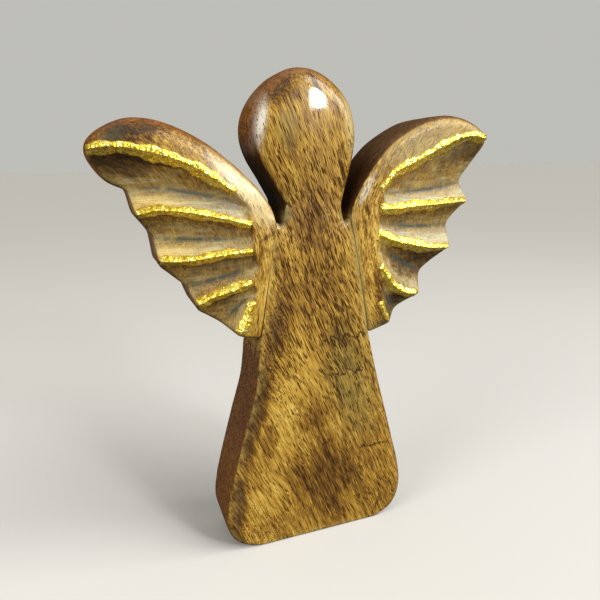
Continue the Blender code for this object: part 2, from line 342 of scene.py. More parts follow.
def triangulate(loop, lines, spacing):
    """Points and triangles that fill an outline, with edges along it and along the inner lines."""
    rings = np.concatenate([ring_points(loop, 1 - math.cos(math.radians(a))) for a in RING_ANGLES])
    fixed = [loop[:, :2]]
    edges = []
    count = len(loop)
    for line in lines:
        inner = line[is_inside(line, loop)]
        distance, _, _ = to_segments(inner, loop, True)
        inner = inner[distance > 0.25]
        fixed.append(inner)
        edges += [(count + i, count + i + 1) for i in range(len(inner) - 1)]
        count += len(inner)
    fixed = np.concatenate(fixed)
    rings = thin_out(rings, fixed[len(loop) :], 0.5) if lines else rings
    grid = hex_grid(loop, spacing)
    grid = grid[is_inside(grid, loop)]
    distance, radius = edge_radius(grid, loop)
    grid = grid[distance > radius * 1.02]
    grid = thin_out(grid, np.concatenate([fixed, rings]), spacing * 0.62)
    points = [Vector(p) for p in np.concatenate([fixed, rings, grid])]
    outline = list(range(len(loop)))
    edges += [(i, (i + 1) % len(loop)) for i in outline]
    verts, _, faces, _, _, _ = delaunay_2d_cdt(points, edges, [], 0, 1e-5)
    verts = np.array([tuple(v) for v in verts])
    faces = np.array([f for f in faces if len(f) == 3])
    faces = faces[is_inside(verts[faces].mean(1), loop)]
    return verts, faces


def make_board(name, loop, lines, spacing, front, back):
    """A closed board: front and back height functions over one triangulation, and side walls."""
    flat, faces = triangulate(loop, lines, spacing)
    around = len(loop)
    rim = np.array([np.abs(flat - p).sum(1).argmin() for p in loop[:, :2]])
    front_y, back_y = front(flat), back(flat)
    turned = flat[faces]
    cross = np.cross(turned[:, 1] - turned[:, 0], turned[:, 2] - turned[:, 0])
    faces[cross < 0] = faces[cross < 0][:, ::-1]
    used = np.zeros(len(flat), bool)
    used[faces.ravel()] = True
    number = np.cumsum(used) - 1
    faces, rim, flat = number[faces], number[rim], flat[used]
    front_y, back_y = front_y[used], back_y[used]
    total = len(flat)
    front_verts = np.stack([flat[:, 0], front_y, flat[:, 1]], 1)
    back_verts = np.stack([flat[:, 0], back_y, flat[:, 1]], 1)
    rows = []
    for row in range(1, SIDE_ROWS):
        share = row / SIDE_ROWS
        y = front_y[rim] * (1 - share) + back_y[rim] * share
        rows.append(np.stack([flat[rim, 0], y, flat[rim, 1]], 1))
    verts = np.concatenate([front_verts, back_verts, *rows]) * MM
    columns = [rim] + [2 * total + around * row + np.arange(around) for row in range(SIDE_ROWS - 1)]
    columns.append(rim + total)
    polygons = [tuple(f) for f in faces] + [tuple(f[::-1] + total) for f in faces]
    for upper, lower in zip(columns, columns[1:]):
        polygons += list(zip(upper, lower, np.roll(lower, -1), np.roll(upper, -1)))
    area = (loop[:, 0] * np.roll(loop[:, 1], -1) - np.roll(loop[:, 0], -1) * loop[:, 1]).sum()
    if area < 0:
        side = len(faces) * 2
        polygons[side:] = [p[::-1] for p in polygons[side:]]
    mesh = bpy.data.meshes.new(name)
    mesh.from_pydata([tuple(v) for v in verts], [], [tuple(int(i) for i in p) for p in polygons])
    mesh.validate()
    mesh.shade_smooth()
    return mesh


def add_attributes(mesh, **marks):
    """Numbers at each vertex that the materials read by name."""
    for name, values in marks.items():
        attribute = mesh.attributes.new(name, "FLOAT", "POINT")
        attribute.data.foreach_set("value", np.asarray(values, np.float32))


def mesh_points(mesh):
    """A mesh's vertices as rows of millimetres."""
    flat = np.zeros(len(mesh.vertices) * 3)
    mesh.vertices.foreach_get("co", flat)
    return flat.reshape(-1, 3) / MM


def move_points(mesh, points):
    mesh.vertices.foreach_set("co", (points * MM).ravel())
    mesh.update()


def sand(mesh, seed, amount):
    """Hand-sanded unevenness, along the normals."""
    points = mesh_points(mesh)
    normals = np.zeros(len(mesh.vertices) * 3)
    mesh.vertices.foreach_get("normal", normals)
    waviness = ripple(points, 26.0, seed) * 0.65 + ripple(points, 9.0, seed + 1) * 0.35
    waviness *= np.clip(points[:, 2] / 4.0, 0, 1)  # the base stays flat
    moved = points + normals.reshape(-1, 3) * (waviness * amount)[:, None]
    move_points(mesh, moved)


def place(data):
    """A new object in the scene, named like its mesh, light or camera."""
    made = bpy.data.objects.new(data.name, data)
    bpy.context.scene.collection.objects.link(made)
    return made


def show(mesh, material, node):
    """Puts a finished mesh in the place of a CAD node."""
    piece = place(mesh)
    mesh.materials.clear()
    mesh.materials.append(material)
    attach(piece, "root")
    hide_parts(node)


# ---- body and wings

BODY_EDGE_REACH, WING_EDGE_REACH = 1.6, 1.4  # how far the lighter rims reach in from an edge: partly wear, partly a painted edge highlight
BODY_SANDING, WING_SANDING = 0.10, 0.12
TOOL_MARKS = 0.07
BODY_SPACING, WING_SPACING, LINE_SPACING = 1.15, 0.8, 0.6
DRESS_DOME, HEAD_DOME = 0.3, 3.6  # how far the front falls back towards its edges
DOME_REACH = 11.0
SHOULDER_Z, CHIN_Z = 125.0, 165.0
NOTCH_STAIN, NOTCH_STAIN_SIZE = (14.0, 142.5), 3.2


def filler(points):
    """Where the filler smeared along the wing joints lies: wide at the right, a trace at the left."""
    near_seam = np.abs(np.abs(points[:, 0]) - seam_x(points[:, 2]))
    in_seam = (points[:, 2] > SEAM_FOOT[1] - 2) & (points[:, 2] < SEAM_TOP[1] + 1)
    width = np.where(points[:, 0] > 0, 1.3, 0.5)
    strength = np.where(points[:, 0] > 0, 0.9, 0.2)
    return in_seam * strength * np.exp(-((near_seam / width) ** 4))


def notch_mark(points):
    """The dull, stained wood round the bottom of the notches between head and wings."""
    away = np.hypot(np.abs(points[:, 0]) - NOTCH_STAIN[0], points[:, 2] - NOTCH_STAIN[1])
    return 0.35 * np.exp(-((away / NOTCH_STAIN_SIZE) ** 4))


def wall(distance, radius):
    """1 on the sides of a board and the outer part of its rounded edges, 0 on its front and back."""
    return np.clip((0.4 * radius - distance) / (0.15 * radius + 0.1), 0, 1)


def build_body(material):
    loop = body_outline()

    def front(points):
        distance, radius = edge_radius(points, loop)
        up = np.clip((points[:, 1] - SHOULDER_Z) / (CHIN_Z - SHOULDER_Z), 0, 1)
        dome = DRESS_DOME + (HEAD_DOME - DRESS_DOME) * up * up * (3 - 2 * up)
        return -HALF_THICKNESS + rounding(distance, radius) + dome * np.exp(-distance / DOME_REACH)

    def back(points):
        distance, radius = edge_radius(points, loop)
        return HALF_THICKNESS - rounding(distance, np.minimum(radius, 4.5))

    mesh = make_board("body_carved", loop, [], BODY_SPACING, front, back)
    sand(mesh, 11, BODY_SANDING)
    points = mesh_points(mesh)
    distance, radius = edge_radius(points[:, [0, 2]], loop)
    seam = np.maximum(filler(points), notch_mark(points))
    add_attributes(mesh, edge=np.exp(-distance / BODY_EDGE_REACH), seam=seam, wall=wall(distance, radius))
    show(mesh, material, "body")


def mirrored(points, side):
    rows = np.array(points, float)
    rows[:, 0] *= side
    return rows


def run_on(line, reach):
    """A line whose first point is moved outward along it."""
    outward = line[0] - line[1]
    extended = line.copy()
    extended[0] = line[0] + outward / np.linalg.norm(outward) * reach
    return extended


def wing_lines(wing):
    """Ridge, crease and valley-head lines of a wing as dense rows of x and z."""
    side = wing["side"]
    ridges = [smooth_line(mirrored(r, side), LINE_SPACING, False) for r in wing["ridges"]]
    creases = [smooth_line(mirrored(c, side), LINE_SPACING, False) for c in wing["creases"]]
    heads = []
    for upper, lower, middle in zip(ridges, ridges[1:], mirrored(wing["valley_heads"], side)):
        heads.append(smooth_line([upper[-1], middle, lower[-1]], LINE_SPACING, False))
    return ridges, creases, heads


def valley_relief(points, wing, lines):
    """Depth of the carving under each point, and marks for the shader: how far into a valley a point
    is, its crease line and the brow under each ridge (both painted shade), and the sheen of the flanks
    that face up (a painted highlight) with tan, its warmer tint."""
    ridges, creases, heads = lines
    depth = np.zeros(len(points))
    carve = np.zeros(len(points))
    crease_mark = np.zeros(len(points))
    brow = np.zeros(len(points))
    sheen = np.zeros(len(points))
    tan = np.zeros(len(points))
    for number, (crease, head) in enumerate(zip(creases, heads)):
        upper = run_on(ridges[number], RUN_OUT)
        lower = run_on(ridges[number + 1], RUN_OUT)
        long_crease = run_on(crease, RUN_OUT)
        edge = np.concatenate([upper, head[1:-1], lower[::-1]])
        region = is_inside(points, edge)
        if not region.any():
            continue
        inside = points[region]
        to_edge, _, _ = to_segments(inside, edge, False)
        to_crease, index, share = to_segments(inside, long_crease, False)
        along = (index + share) / (len(long_crease) - 1)
        shallow, deep = VALLEY_DEPTHS[number]
        full = deep + (shallow - deep) * along
        t = to_edge / np.maximum(to_edge + to_crease, 1e-6)
        start = long_crease[index]
        run = long_crease[index + 1] - start
        offset = inside - start
        above = (offset[:, 0] * run[:, 1] - offset[:, 1] * run[:, 0]) / np.linalg.norm(run, axis=1)
        above = 0.5 + 0.5 * wing["side"] * np.clip(above / np.maximum(to_crease, 1e-6), -1, 1)
        power = LOWER_FLANK_POWER + (UPPER_FLANK_POWER - LOWER_FLANK_POWER) * above
        from_bottom = np.sqrt((1 - t) ** 2 + CREASE_SOFTNESS**2) - CREASE_SOFTNESS
        fall = 1 - from_bottom**power
        depth[region] = full * (np.sqrt(fall**2 + RIDGE_SOFTNESS**2) - RIDGE_SOFTNESS)
        carve[region] = t
        # Marks for painted light: the crease line and the brow are painted shade, the sheen is a painted
        # highlight and tan its warmer tint.
        fade = np.clip((1 - along) * 3.0, 0, 1) * np.clip(0.2 + along * 2.5, 0, 1)
        crease_mark[region] = np.exp(-((to_crease / 0.9) ** 2)) * fade
        brow[region] = above * (1 - t)
        tan[region] = wing["tan"] * np.clip(1.4 - 1.8 * along, 0, 1)
        fade_in = VALLEY_SHEENS[number] * (1 - wing["sheen_fade"] * np.abs(along - wing["sheen_at"]))
        sheen[region] = (1 - above) * np.sin(np.clip(t * 1.3, 0, 1) * math.pi) * fade_in
    return depth, {"carve": carve, "crease": crease_mark, "brow": brow, "sheen": sheen, "tan": tan}


def lean_back(mesh, centre, reach, shift):
    """Moves the back of the board's edge outward near a place, so that the edge face slants."""
    points = mesh_points(mesh)
    away = np.hypot(points[:, 0] - centre[0], points[:, 2] - centre[1])
    back = np.clip((points[:, 1] + HALF_THICKNESS) / (2 * HALF_THICKNESS), 0, 1)
    weight = np.exp(-((away / reach) ** 2)) * back * back * (3 - 2 * back)
    points[:, 0] += weight * shift[0]
    points[:, 2] += weight * shift[1]
    move_points(mesh, points)


def build_wing(wing, material):
    loop = wing_outline(wing)
    lines = wing_lines(wing)
    ridges, creases, _ = lines
    seed = 30 + wing["side"]
    arm = [wing["shoulder"][:2], *(p[:2] for p in wing["leading_edge"]), wing["tip"][:2]]
    arm = smooth_line(mirrored(arm, wing["side"]), 2.0, False)
    dome, reach = wing["dome"]

    def front(points):
        distance, radius = edge_radius(points, loop)
        to_arm, _, _ = to_segments(points, arm, False)
        depth, marks = valley_relief(points, wing, lines)
        tool_marks = ripple(points, 6.0, seed) * TOOL_MARKS * np.clip(marks["carve"] * 3, 0, 1)
        fall = rounding(distance, radius) + dome * np.exp(-to_arm / reach)
        return -HALF_THICKNESS + fall + depth + tool_marks

    def back(points):
        distance, radius = edge_radius(points, loop)
        return HALF_THICKNESS - rounding(distance, np.minimum(radius, BACK_RADIUS))

    mesh = make_board(wing["node"] + "_carved", loop, ridges + creases, WING_SPACING, front, back)
    if "lean" in wing:
        lean_back(mesh, *wing["lean"])
    sand(mesh, seed, WING_SANDING)
    points = mesh_points(mesh)
    flat = points[:, [0, 2]]
    distance, radius = edge_radius(flat, loop)
    side = wall(distance, radius)
    on_front = np.clip(-points[:, 1] / 4, 0, 1) * (1 - 0.6 * side)
    _, marks = valley_relief(flat, wing, lines)
    add_attributes(mesh, edge=np.exp(-distance / WING_EDGE_REACH))
    add_attributes(mesh, **{mark: values * on_front for mark, values in marks.items()})
    add_attributes(mesh, wall=side, seam=np.maximum(filler(points), notch_mark(points)))
    show(mesh, material, wing["node"])
    return front, ridges


# ---- gold leaf

LEAF_STEP = 0.36
LEAF_COLUMNS = 13
# Half widths of each strip at its outer and its inner end.
LEAF_WIDTHS = {
    "left": [(2.5, 2.4), (2.2, 1.9), (2.3, 2.0), (2.6, 2.1), (2.6, 2.0)],
    "right": [(2.7, 2.4), (2.1, 2.8), (2.1, 3.4), (2.4, 2.2), (1.8, 1.8)],
}
LEAF_LIFT = 0.5
FOLD, CRUMPLE = 0.22, 0.13  # heights of the folds across the ridge, and of the crumpled patches
LEAF_SINK = 0.25


def leaf_lumps(place, share, seed):
    """Height of the crumpled leaf, by the place along the ridge and the share across it."""
    fold = noise.noise(Vector((place / 1.5, share * 0.9, seed)))
    wide = noise.noise(Vector((place / 2.6, share * 0.6, seed + 3.3)))
    crumpled = min(max(noise.noise(Vector((place / 5.0, share * 0.5, seed + 7.7))) * 3 + 0.5, 0), 1)
    sharp = 1 - 2.4 * abs(noise.noise(Vector((place / 1.4, share * 1.6, seed + 9.5))))
    return FOLD * fold + 0.25 * wide + CRUMPLE * crumpled * sharp


def leaf_widths(place, half_widths, random):
    """The ragged half width of a leaf strip to one side, from its outer to its inner end."""
    waves = ((3.1, 0.16), (1.3, 0.10), (0.6, 0.05))
    wobble = sum(np.sin(place / wave + random.uniform(0, 7)) * size for wave, size in waves)
    share = np.clip(place / place[-1], 0, 1)
    taper = 0.6 + 0.4 * np.sin(share * math.pi) ** 0.4
    return (half_widths[0] * (1 - share) + half_widths[1] * share) * (1 + wobble) * taper


def build_leaf(name, node, ridge, half_widths, front, wing_loop, material, seed):
    """Thick crumpled leaf draped over a ridge: a closed ribbon that follows the wood under it."""
    inside = ridge[is_inside(ridge, wing_loop)]
    distance, _ = edge_radius(inside, wing_loop)
    inside = inside[distance > 0.4]
    centre = smooth_line(inside, LEAF_STEP, False)
    step = np.linalg.norm(np.diff(centre, axis=0), axis=1)
    centre = centre[np.concatenate([[True], step > LEAF_STEP * 0.3])]
    along = np.gradient(centre, axis=0)
    along /= np.linalg.norm(along, axis=1)[:, None]
    across = np.stack([-along[:, 1], along[:, 0]], 1)
    count = len(centre)
    place = np.concatenate([[0], np.cumsum(np.linalg.norm(np.diff(centre, axis=0), axis=1))])
    random = np.random.default_rng(seed)
    sides = [leaf_widths(place, half_widths, random) for _ in range(2)]
    spread = np.linspace(-1, 1, LEAF_COLUMNS)
    offset = spread[None] * np.where(spread[None] < 0, sides[0][:, None], sides[1][:, None])
    flat = centre[:, None] + across[:, None] * offset[:, :, None]
    wood_y = front(flat.reshape(-1, 2)).reshape(count, LEAF_COLUMNS)
    profile = (1 - np.abs(spread) ** 2.2) ** 0.7
    lumps = np.array([[leaf_lumps(p, s, seed) for s in spread] for p in place])
    ends = np.clip(np.minimum(place, place[-1] - place) / 0.9, 0, 1)[:, None]
    lift = np.maximum(LEAF_LIFT + lumps, 0.08) * profile * ends
    outer = np.stack([flat[:, :, 0], wood_y - 0.02 - lift, flat[:, :, 1]], 2).reshape(-1, 3)
    under = wood_y + LEAF_SINK * (0.3 + 0.7 * profile)
    inner = np.stack([flat[:, :, 0], under, flat[:, :, 1]], 2).reshape(-1, 3)
    mesh = bpy.data.meshes.new(name)
    mesh.from_pydata([tuple(v) for v in np.concatenate([outer, inner]) * MM], [], ribbon_faces(count))
    if cross_sign(mesh) < 0:
        mesh.flip_normals()
    mesh.validate()
    mesh.shade_smooth()
    show(mesh, material, node)


def ribbon_faces(count):
    """Quads of a closed ribbon: the outer rows first, then the inner rows in the same order."""
    half = count * LEAF_COLUMNS
    columns = list(range(LEAF_COLUMNS))
    ring = columns + [half + j for j in reversed(columns)]
    faces = []
    for row in range(0, half - LEAF_COLUMNS, LEAF_COLUMNS):
        following = row + LEAF_COLUMNS
        faces += [(a + row, b + row, b + following, a + following) for a, b in zip(ring, ring[1:] + ring[:1])]
    last = half - LEAF_COLUMNS
    for j in columns[:-1]:
        faces.append((j + 1, j, j + half, j + 1 + half))
        faces.append((last + j, last + j + 1, last + j + 1 + half, last + j + half))
    return faces


def cross_sign(mesh):
    """The sign of a closed mesh's volume: positive when its faces point out."""
    mesh.calc_loop_triangles()
    points = mesh_points(mesh)
    corners = np.array([t.vertices[:] for t in mesh.loop_triangles])
    a, b, c = (points[corners[:, k]] for k in range(3))
    return float((a * np.cross(b, c)).sum())


def build_gold(label, wing, front, ridges, material):
    loop = wing_outline(wing)
    for number, (ridge, half_widths) in enumerate(zip(ridges, LEAF_WIDTHS[label]), start=1):
        node = f"gold_leaf_{label}_{number}"
        seed = number * 7 + wing["side"] * 3
        build_leaf(node + "_foil", node, ridge, half_widths, front, loop, material, seed)


# ---- materials


class Graph:
    """Short calls for building one material's nodes."""

    def __init__(self, name):
        self.material = bpy.data.materials.new(name)
        self.material.use_nodes = True
        self.nodes = self.material.node_tree.nodes
        self.links = self.material.node_tree.links
        self.shader = self.nodes["Principled BSDF"]

    def put(self, socket, value):
        if isinstance(value, bpy.types.NodeSocket):
            self.links.new(value, socket)
        elif value is not None:
            socket.default_value = value

    def node(self, kind, inputs=(), **settings):
        made = self.nodes.new("ShaderNode" + kind)
        for key, value in settings.items():
            setattr(made, key, value)
        for key, value in dict(inputs).items():
            self.put(made.inputs[key], value)
        return made

    def times(self, a, b, plus=None, clamp=False):
        """a times b, and plus where it is given."""
        return self.maths("MULTIPLY" if plus is None else "MULTIPLY_ADD", a, b, plus, clamp)

    def maths(self, operation, a, b=None, c=None, clamp=False):
        return self.node("Math", {0: a, 1: b, 2: c}, operation=operation, use_clamp=clamp).outputs[0]

    def mix(self, share, a, b, blend="MIX"):
        made = self.node("Mix", {0: share}, data_type="RGBA", blend_type=blend)
        self.put(made.inputs[6], a)
        self.put(made.inputs[7], b)
        return made.outputs[2]

    def span(self, value, low, high, to_low=0.0, to_high=1.0):
        """A smooth step from to_low at low to to_high at high."""
        inputs = enumerate((value, low, high, to_low, to_high))
        return self.node("MapRange", inputs, interpolation_type="SMOOTHSTEP").outputs[0]

    def mix_value(self, share, a, b):
        return self.node("Mix", {0: share, 2: a, 3: b}, data_type="FLOAT").outputs[0]

    def vector(self, operation, a, b):
        return self.node("VectorMath", {0: a, 1: b}, operation=operation).outputs[0]

    def dot(self, a, b):
        return self.node("VectorMath", {0: a, 1: b}, operation="DOT_PRODUCT").outputs["Value"]

    def length(self, vector):
        return self.node("VectorMath", {0: vector}, operation="LENGTH").outputs["Value"]

    def scale(self, vector, factors):
        return self.vector("MULTIPLY", vector, factors)

    def object_millimetres(self):
        return self.scale(self.node("TexCoord").outputs["Object"], (1 / MM, 1 / MM, 1 / MM))

    def noise(self, vector, scale=1.0, detail=3.0, roughness=0.55, distortion=0.0):
        names = ("Vector", "Scale", "Detail", "Roughness", "Distortion")
        return self.node("TexNoise", zip(names, (vector, scale, detail, roughness, distortion))).outputs[0]

    def ramp(self, value, stops):
        made = self.node("ValToRGB", {0: value})
        elements = made.color_ramp.elements
        while len(elements) < len(stops):
            elements.new(0.5)
        for element, (place, colour) in zip(elements, stops):
            element.position = place
            element.color = (*colour, 1.0)
        return made.outputs[0]

    def attribute(self, name):
        return self.node("Attribute", attribute_name=name).outputs["Fac"]

    def finish(self, base, rough, bump, metallic=0.0, specular=0.5, coat=0.0, coat_roughness=0.1):
        """Wires up the shader and returns the material. bump: strength, depth in metres and height."""
        bump = self.node("Bump", dict(zip(("Strength", "Distance", "Height"), bump)))
        inputs = self.shader.inputs
        self.put(inputs["Specular IOR Level"], specular)
        self.put(inputs["Base Color"], base)
        self.put(inputs["Roughness"], rough)
        self.put(inputs["Metallic"], metallic)
        self.put(inputs["Coat Weight"], coat)
        inputs["Coat Roughness"].default_value = coat_roughness
        self.put(inputs["Normal"], bump.outputs[0])
        return self.material


def colour(*display):
    """Linear colour from display values of 0 to 255."""
    return tuple(((c / 255 + 0.055) / 1.055) ** 2.4 if c > 10 else c / 255 / 12.92 for c in display)


def opaque(rgb):
    return (*rgb, 1.0)


WANDER_SCALE, WANDER = 0.02, 9.0  # how often the grain strays, and how far


def grain_space(g, millimetres, centre):
    """Millimetre coordinates with Z along grain that curves round a far-off centre."""
    stray = g.node("TexNoise", {"Vector": millimetres, "Scale": WANDER_SCALE, "Detail": 3.0})
    stray = g.vector("SUBTRACT", stray.outputs["Color"], (0.5, 0.5, 0.5))
    bent = g.vector("ADD", g.scale(stray, (WANDER, WANDER, WANDER)), millimetres)
    side = 1.0 if centre[0] < 0 else -1.0
    out = g.scale(g.vector("SUBTRACT", bent, (centre[0], 0.0, centre[1])), (side, 1.0, side))
    parts = g.node("SeparateXYZ", {0: out}).outputs
    across = g.length(g.scale(out, (1.0, 0.0, 1.0)))
    along = g.times(g.maths("ARCTAN2", parts[2], parts[0]), math.hypot(*centre))
    return g.node("CombineXYZ", {0: across, 1: parts[1], 2: along}).outputs[0]


class Wood(Graph):
    """The nodes of one board's wood, with its coordinates and what frays the edges of its patches."""

    def __init__(self, name, centre):
        super().__init__(name)
        self.millimetres = self.object_millimetres()
        self.grain = grain_space(self, self.millimetres, centre)
        self.ragged = self.fibre(0.35, 0.07, 5.0, 0.72)
        self.wobble = self.times(self.ragged, 1.8, -0.9)

    def fibre(self, across, along, detail, roughness=0.55, distortion=0.0):
        """Noise stretched along the grain."""
        return self.noise(self.scale(self.grain, (across, across, along)), 1.0, detail, roughness, distortion)

    def pores(self, width, length, reach, offset):
        """Open pores: short streaks along the grain, from 0 outside to 1 in their middle."""
        cells = self.scale(self.vector("ADD", self.grain, offset), (1 / width, 1 / width, 1 / length))
        made = self.node("TexVoronoi", {"Vector": cells, "Scale": 1.0, "Randomness": 1.0})
        size = self.node("SeparateColor", {0: made.outputs["Color"]}).outputs[0]
        share = self.maths("DIVIDE", made.outputs["Distance"], self.times(size, reach, reach * 0.5))
        return self.maths("SUBTRACT", 1.0, share, clamp=True)

    def patch(self, wobble, x, z, half_width, half_height, turn, depth, soft):
        """An ellipse in the XZ plane, turned about Y, with a soft edge."""
        cos, sin = math.cos(math.radians(turn)), math.sin(math.radians(turn))
        offset = self.vector("SUBTRACT", self.millimetres, (x, 0.0, z))
        across = self.dot(offset, (cos / half_width, 0.0, -sin / half_width))
        up = self.dot(offset, (sin / half_height, 0.0, cos / half_height))
        away = self.length(self.node("CombineXYZ", {0: across, 2: up}).outputs[0])
        away = self.maths("ADD", away, wobble)
        return self.times(self.span(away, 1.0 + soft, 1.0 - soft), depth)

    def cover(self, patches, fray=True):
        """How far some patches cover a point: the strongest of them, joined one by one, so that
        Cycles holds few values at a time."""
        total = None
        for row in patches:
            mask = self.patch(self.wobble if fray else 0.0, *row)
            total = mask if total is None else self.maths("MAXIMUM", total, mask)
        return total

    def ink_line(self, height, low_x, high_x):
        """A thin dark zone line that wanders across the grain."""
        drift = self.times(self.ragged, 11.0, -5.5)
        parts = self.node("SeparateXYZ", {0: self.millimetres}).outputs
        level = self.maths("ABSOLUTE", self.maths("SUBTRACT", self.maths("ADD", parts[2], drift), height))
        starts, ends = self.span(parts[0], low_x - 2, low_x + 2), self.span(parts[0], high_x + 2, high_x - 2)
        return self.times(self.span(level, 0.7, 0.25), self.times(starts, ends))


WOOD_RAMP = [
    (0.0, colour(42, 24, 6)),
    (0.25, colour(90, 58, 16)),
    (0.5, colour(148, 108, 36)),
    (0.72, colour(192, 152, 60)),
    (1.0, colour(226, 194, 100)),
]
PORE_COLOUR = opaque(colour(54, 31, 8))
RESIDUE_COLOUR = opaque(colour(164, 144, 88))
WAX_DARK, WAX_LIGHT = colour(80, 79, 62), colour(170, 162, 118)
# Painted highlight on the valleys' up-facing flanks, and its warmer tint at the left wing's outer ends.
SHEEN_COLOUR = opaque(colour(208, 216, 180))
TAN_COLOUR = opaque(colour(236, 212, 136))
# Painted shade along each crease, blue-grey as a painted cool reflection.
CREASE_COLOUR = opaque(colour(64, 74, 68))
# Colour of the board sides, darker and redder than the front: painted shade.
WALL_RAMP = [(0.36, colour(58, 28, 14)), (0.62, colour(160, 90, 46))]
# Colour of the painted shade on sides next to other parts.
PAINTED_SIDE_SHADE_COLOUR = opaque(colour(26, 24, 16))
STREAKING, THREADING = 0.8, 1.1  # how far streaks and threads of the grain go, next to a board's banding


def grain_tone(g, figure):
    """How light the bare grain is, and its streaks alone."""
    bands = g.fibre(0.13, 0.014, 4.0, 0.6, 0.4)
    streaks = g.fibre(0.75, 0.06, 4.0, 0.62)
    threads = g.fibre(2.2, 0.13, 2.0)
    middle = (figure["banding"] + STREAKING + THREADING) / 2
    tone = g.times(bands, figure["banding"], figure["tone"] - middle)
    tone = g.times(streaks, STREAKING, tone)
    return g.times(threads, THREADING, tone), streaks


def tinted(g, tone, dark_wood_and_shade, side, figure):
    """The wood's colour under its pores, with its dark, light and tinted patches (a few of them painted
    shade and painted highlights); the sides and the brows under the ridges are darkened as painted shade.
    """
    tone = g.times(dark_wood_and_shade, -0.7, tone)
    # Painted shade: the sides fall towards the figure's darker wall tone.
    tone = g.mix_value(g.times(side, 0.6), tone, figure["wall"])
    # Painted shade: the brows under the ridges darken.
    tone = g.times(g.attribute("brow"), -0.24, tone)
    base = g.ramp(g.maths("ADD", tone, g.cover(figure["light"])), WOOD_RAMP)
    for tint, places in figure["tints"]:
        base = g.mix(g.cover(places), base, opaque(colour(*tint)))
    return base


def open_pores(g, dark_wood_and_shade, figure):
    """Long and short pores, round ones in end grain, and slits where the wood is dark or crowded."""
    crowd = g.fibre(0.10, 0.04, 2.0)
    short_pores = g.times(g.pores(0.74, 4.2, 0.35, (31.0, 17.0, 9.0)), g.span(crowd, 0.35, 0.6, 0.55, 1.0))
    pores = g.maths("MAXIMUM", g.pores(0.88, 8.4, 0.33, (0.0, 0.0, 0.0)), short_pores)
    dots = g.pores(0.7, 1.1, 0.40, (5.0, 3.0, 41.0))
    pores = g.mix_value(g.cover(figure["end_grain"]), pores, dots)
    slits = g.noise(g.scale(g.vector("ADD", g.grain, (7.0, 3.0, 5.0)), (1.25, 1.25, 0.12)), 1.0, 2.0, 0.6)
    slits = g.times(dark_wood_and_shade, 0.2, g.times(crowd, 0.25, slits))
    fine = g.cover(figure["fine"])
    slits = g.times(g.span(slits, 0.69, 0.78), g.times(fine, -0.5, 0.9))
    return g.maths("MAXIMUM", g.span(g.times(fine, -0.2, pores), 0.02, 0.36), slits)


def varnish(g, pores, side, painted_side_shade, figure):
    """Specular level and coat, weaker in pores, on sides, and under wax and filler."""
    seam = g.attribute("seam")
    dull = g.maths("ADD", g.maths("ADD", side, painted_side_shade), g.times(seam, 2.0))
    shine = g.times(g.times(pores, -0.35, 0.35), g.times(dull, -0.5, 1.0, clamp=True))
    bare = g.maths("MAXIMUM", g.times(g.attribute("carve"), 1.5), g.times(seam, 3.0))
    gloss = g.times(g.cover(figure["gloss"], fray=False), g.maths("SUBTRACT", 1.0, side))
    coat = g.maths("MAXIMUM", g.span(bare, 0.0, 0.75, figure["coat"], 0.1), gloss)
    return shine, g.times(coat, g.maths("SUBTRACT", 1.0, painted_side_shade))


def wood(name, centre, figure, wash=None):
    """Varnished open-pored hardwood. figure: dark, light and tinted patches (a few of them painted shade
    and painted highlights), zone lines, end grain (round pores), fine (weak pores), painted shade on the
    sides next to other parts, and gloss (thicker varnish)."""
    g = Wood(name, centre)
    tone, streaks = grain_tone(g, figure)
    side = g.attribute("wall")
    # Dark patches: mostly dark wood, some of them painted shade in the valleys and under the ridges; weaker
    # on the sides.
    dark_wood_and_shade = g.times(g.cover(figure["dark"]), g.times(side, -0.75, 1.0))
    # Painted shade on sides next to other parts: darkens the colour and dulls the varnish.
    painted_side_shade = g.times(side, g.cover(figure["painted_side_shade"], fray=False))
    base = tinted(g, tone, dark_wood_and_shade, side, figure)
    pores = open_pores(g, dark_wood_and_shade, figure)
    # Painted shade: the sides take a streaked, darker and redder colour.
    base = g.mix(g.times(side, 0.5), base, g.ramp(streaks, WALL_RAMP))
    if wash:
        pores = g.times(pores, g.span(g.attribute("carve"), 0.05, 0.4, 1.0, 0.2))
    base = g.mix(g.times(pores, figure["pores"]), base, PORE_COLOUR)
    for line in figure.get("ink", []):
        base = g.mix(g.times(g.ink_line(*line), 0.9), base, PORE_COLOUR)

    # Lighter rims along the edges: partly wear, partly a painted edge highlight.
    rim = g.maths("SUBTRACT", g.attribute("edge"), side, clamp=True)
    wear_and_highlight = g.times(rim, g.span(g.noise(g.millimetres, 0.25, 3.0), 0.42, 0.62))
    base = g.mix(g.times(wear_and_highlight, 0.45), base, opaque(WOOD_RAMP[-1][1]))
    rough = g.times(g.noise(g.millimetres, 0.35, 3.0), 0.2, figure["roughness"] - 0.1)
    rough = g.times(pores, 0.25, rough)
    if wash:
        base, rough = add_wash(g, base, rough, dark_wood_and_shade, wash)
    # Painted shade on the sides next to other parts.
    base = g.mix(painted_side_shade, base, PAINTED_SIDE_SHADE_COLOUR)
    residue = g.span(g.noise(g.millimetres, 0.5, 4.0, 0.7), 0.3, 0.5, 0.35, 1.0)
    residue = g.times(g.attribute("seam"), residue)
    base = g.mix(g.times(residue, 0.85), base, RESIDUE_COLOUR)
    rough = g.times(residue, 0.3, rough, clamp=True)

    height = g.maths("SUBTRACT", g.times(g.fibre(4.5, 0.3, 2.0), 0.3), pores)
    shine, coat = varnish(g, pores, side, painted_side_shade, figure)
    bump = (0.45, 0.00012, height)
    return g.finish(base, rough, bump, 0.0, shine, coat, figure["coat_roughness"])


